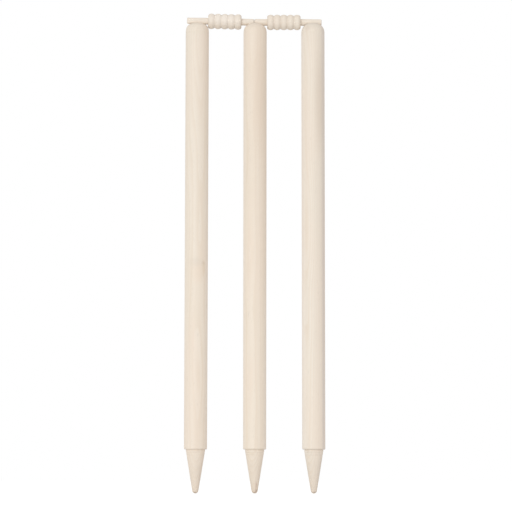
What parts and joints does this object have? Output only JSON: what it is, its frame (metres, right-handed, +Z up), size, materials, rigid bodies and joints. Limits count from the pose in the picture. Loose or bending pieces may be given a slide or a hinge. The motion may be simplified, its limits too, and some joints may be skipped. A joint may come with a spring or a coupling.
{
  "type": "cricket stumps",
  "caption": "Turned wooden cricket stumps with pointed spikes for the ground, standing in a row, with loose turned bails resting in the grooves of their domed tops.",
  "frame": {"origin": "on the middle stump's axis at the ground line, level with the flat shoulder above its spike", "axes": "+X runs along the wicket towards the right stump, +Y runs away from the viewer along the pitch, +Z is up"},
  "size_m": [0.2324, 0.0388, 0.799],
  "materials": {
    "stump_wood": "bare turned and sanded ash, unvarnished",
    "bail_wood": "bare turned and sanded ash, unvarnished"
  },
  "bodies": {
    "middle_stump": {"middle_stump": "stump_wood"},
    "left_stump": {"left_stump": "stump_wood"},
    "right_stump": {"right_stump": "stump_wood"},
    "left_bail": {"left_bail": "bail_wood"},
    "right_bail": {"right_bail": "bail_wood"}
  },
  "joints": [
    {"name": "left_stump_draw", "type": "slide", "parent": "middle_stump", "child": "left_stump", "axis": [0, 0, 1], "range_m": [0, 0.08]},
    {"name": "right_stump_draw", "type": "slide", "parent": "middle_stump", "child": "right_stump", "axis": [0, 0, 1], "range_m": [0, 0.08]},
    {"name": "left_bail_lift", "type": "slide", "parent": "left_stump", "child": "left_bail", "axis": [0, 0, 1], "range_m": [0, 0.06]},
    {"name": "right_bail_lift", "type": "slide", "parent": "right_stump", "child": "right_bail", "axis": [0, 0, 1], "range_m": [0, 0.06]}
  ]
}
